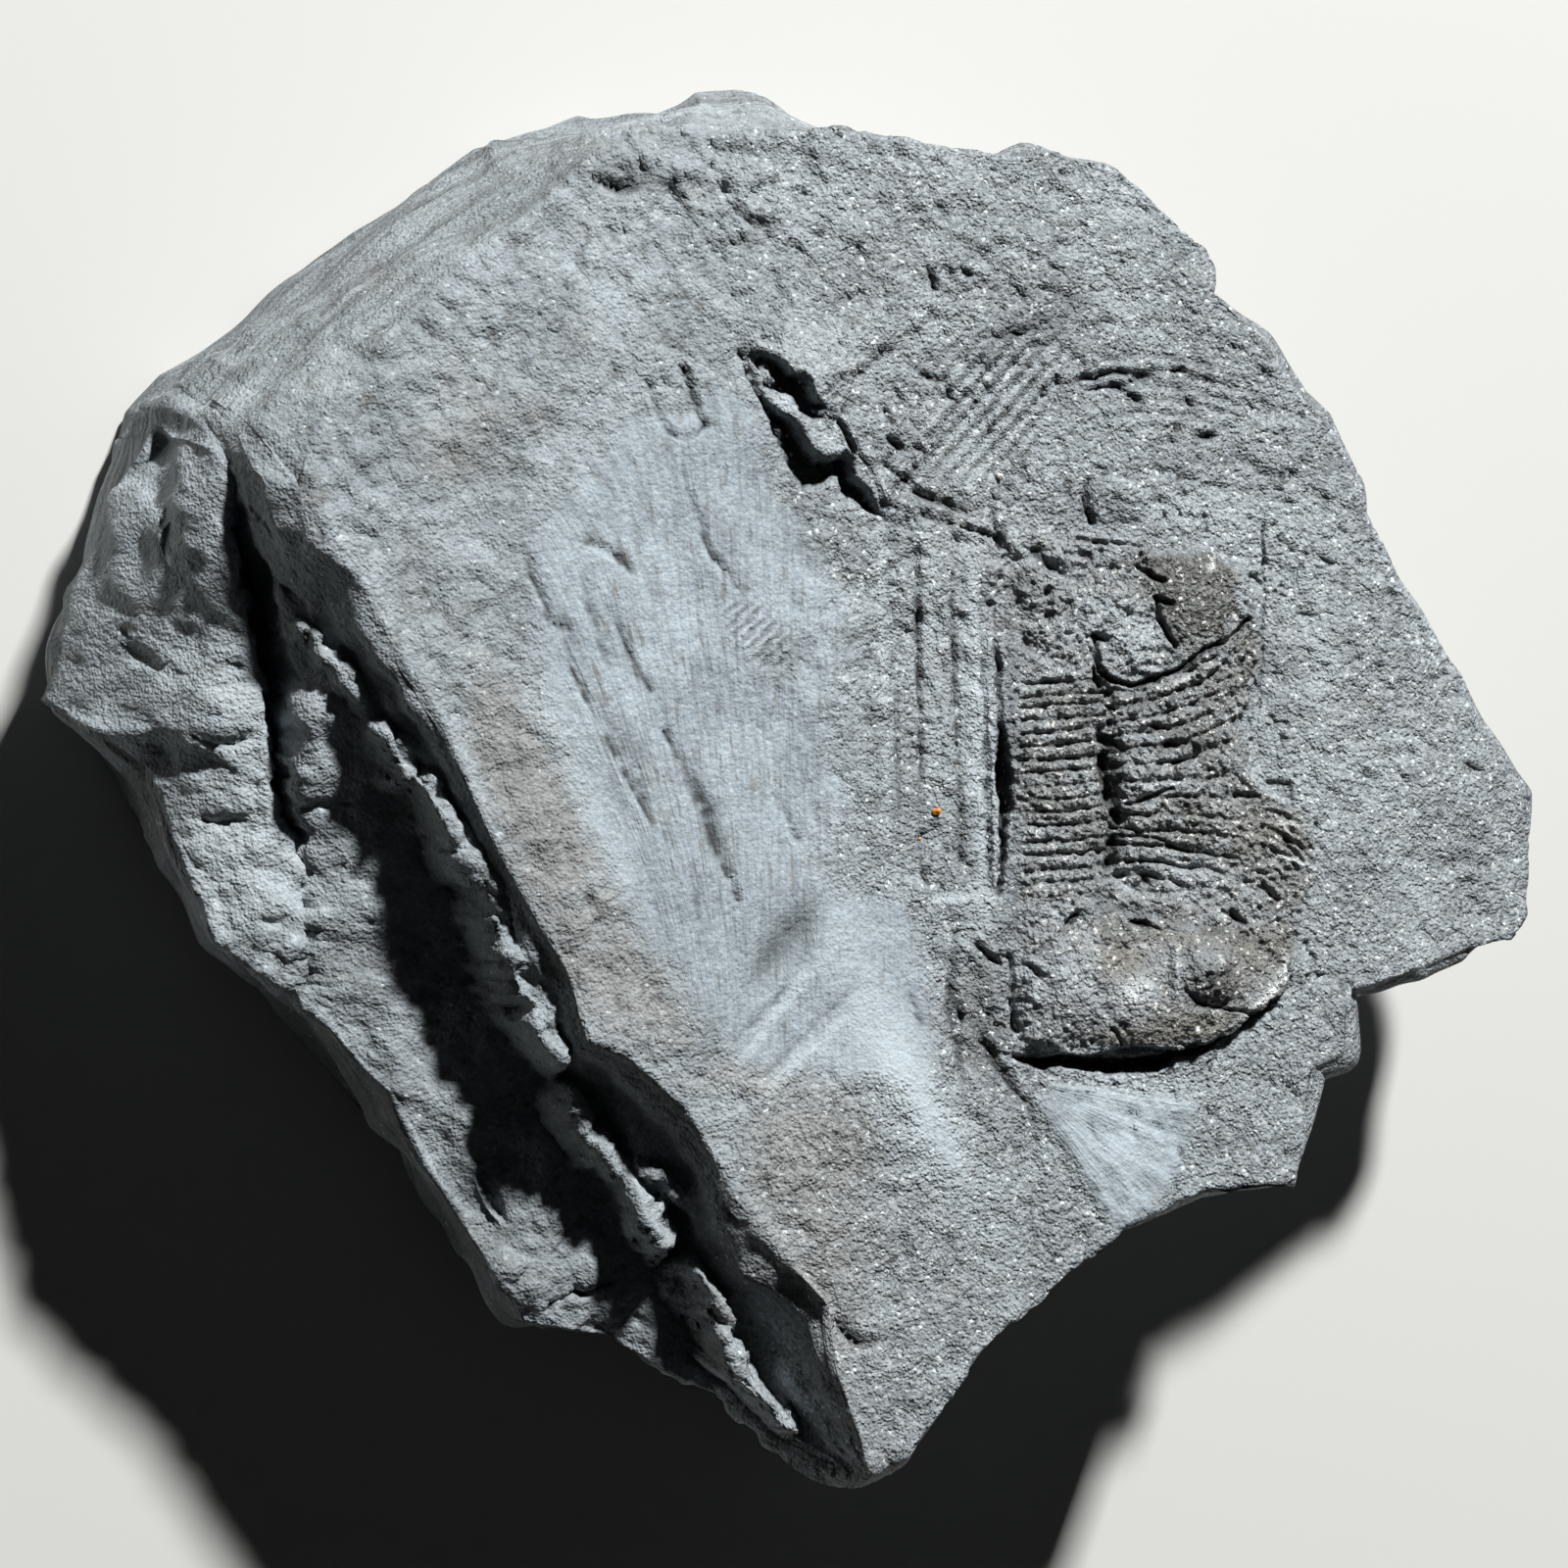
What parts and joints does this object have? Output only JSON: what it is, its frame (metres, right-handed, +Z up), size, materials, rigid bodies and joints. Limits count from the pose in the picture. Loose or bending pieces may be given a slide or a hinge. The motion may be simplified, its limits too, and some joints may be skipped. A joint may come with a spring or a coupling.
{
  "type": "fossil trilobite",
  "caption": "A trilobite lying in low relief on the upper face of its own broken block of dark grey silty shale, which rests on a flat base.",
  "frame": {"origin": "under the middle of the block, on the plane of the flat base it rests on", "axes": "+Z up, out of the fossil-bearing face; +X along the block's longest extent, towards the thin overhanging edge; +Y towards the fossil's tail end, away from its head"},
  "size_m": [0.102, 0.092, 0.0304],
  "materials": {
    "shale": "matt",
    "cuticle": "satin"
  },
  "bodies": {
    "root": {"matrix": "shale", "trilobite": "cuticle"}
  },
  "joints": []
}
